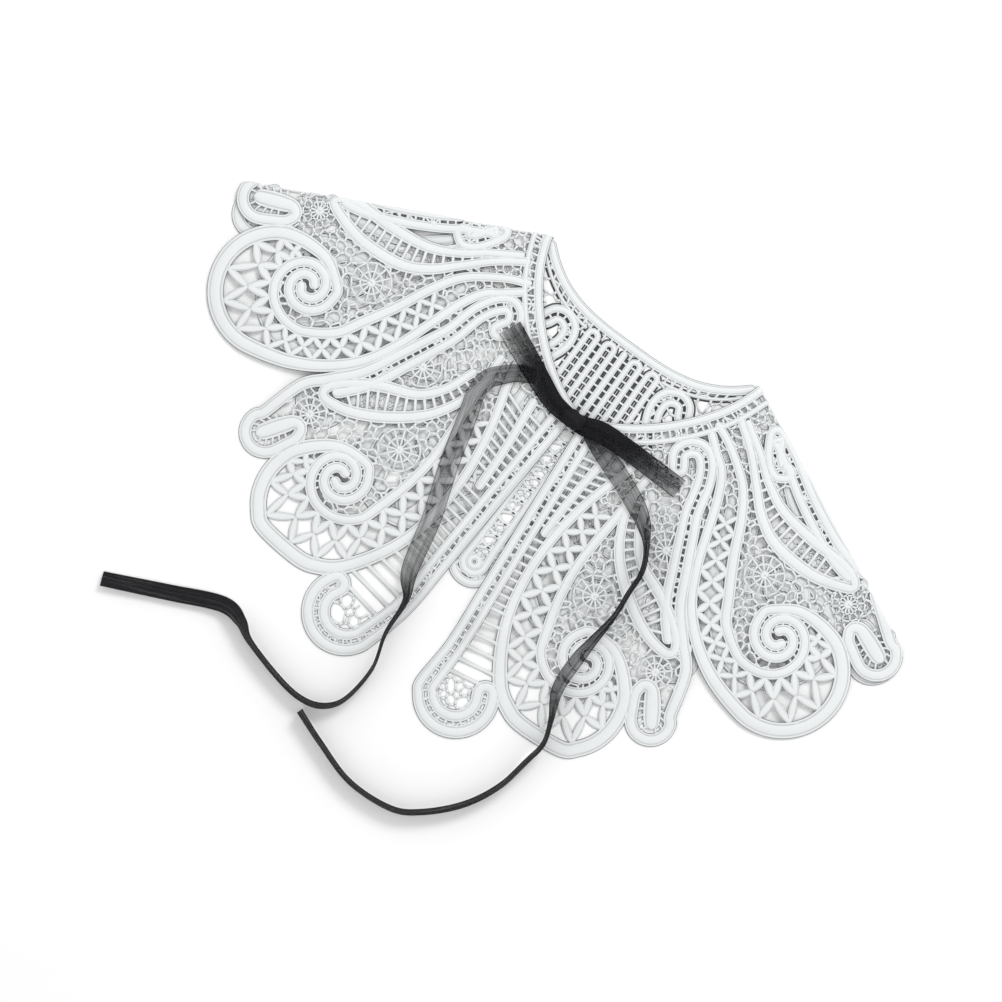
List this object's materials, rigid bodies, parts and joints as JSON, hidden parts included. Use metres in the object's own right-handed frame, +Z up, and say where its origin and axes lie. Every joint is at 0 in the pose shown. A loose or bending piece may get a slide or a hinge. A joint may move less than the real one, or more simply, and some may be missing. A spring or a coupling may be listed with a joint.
{
  "type": "lace collar",
  "caption": "Wide scalloped tape-lace collar laid flat, folded at both shoulders, with a thin black ribbon tied in a flat bow.",
  "frame": {"origin": "middle of the laid-out collar's outline on the table, at the table's height", "axes": "+Z up from the table, +Y towards the neck, -Y towards the hem, +X to the right shoulder as seen from above"},
  "size_m": [0.4238, 0.2938, 0.0154],
  "materials": {
    "lace": "matt white cotton, satin-stitched",
    "ribbon": "sheer black organza"
  },
  "bodies": {
    "root": {"collar_back": "lace", "collar_front_left": "lace", "collar_front_right": "lace", "ribbon_loop_left": "ribbon", "ribbon_loop_right": "ribbon", "ribbon_knot": "ribbon", "ribbon_tail_left": "ribbon", "ribbon_tail_right": "ribbon"}
  },
  "joints": []
}
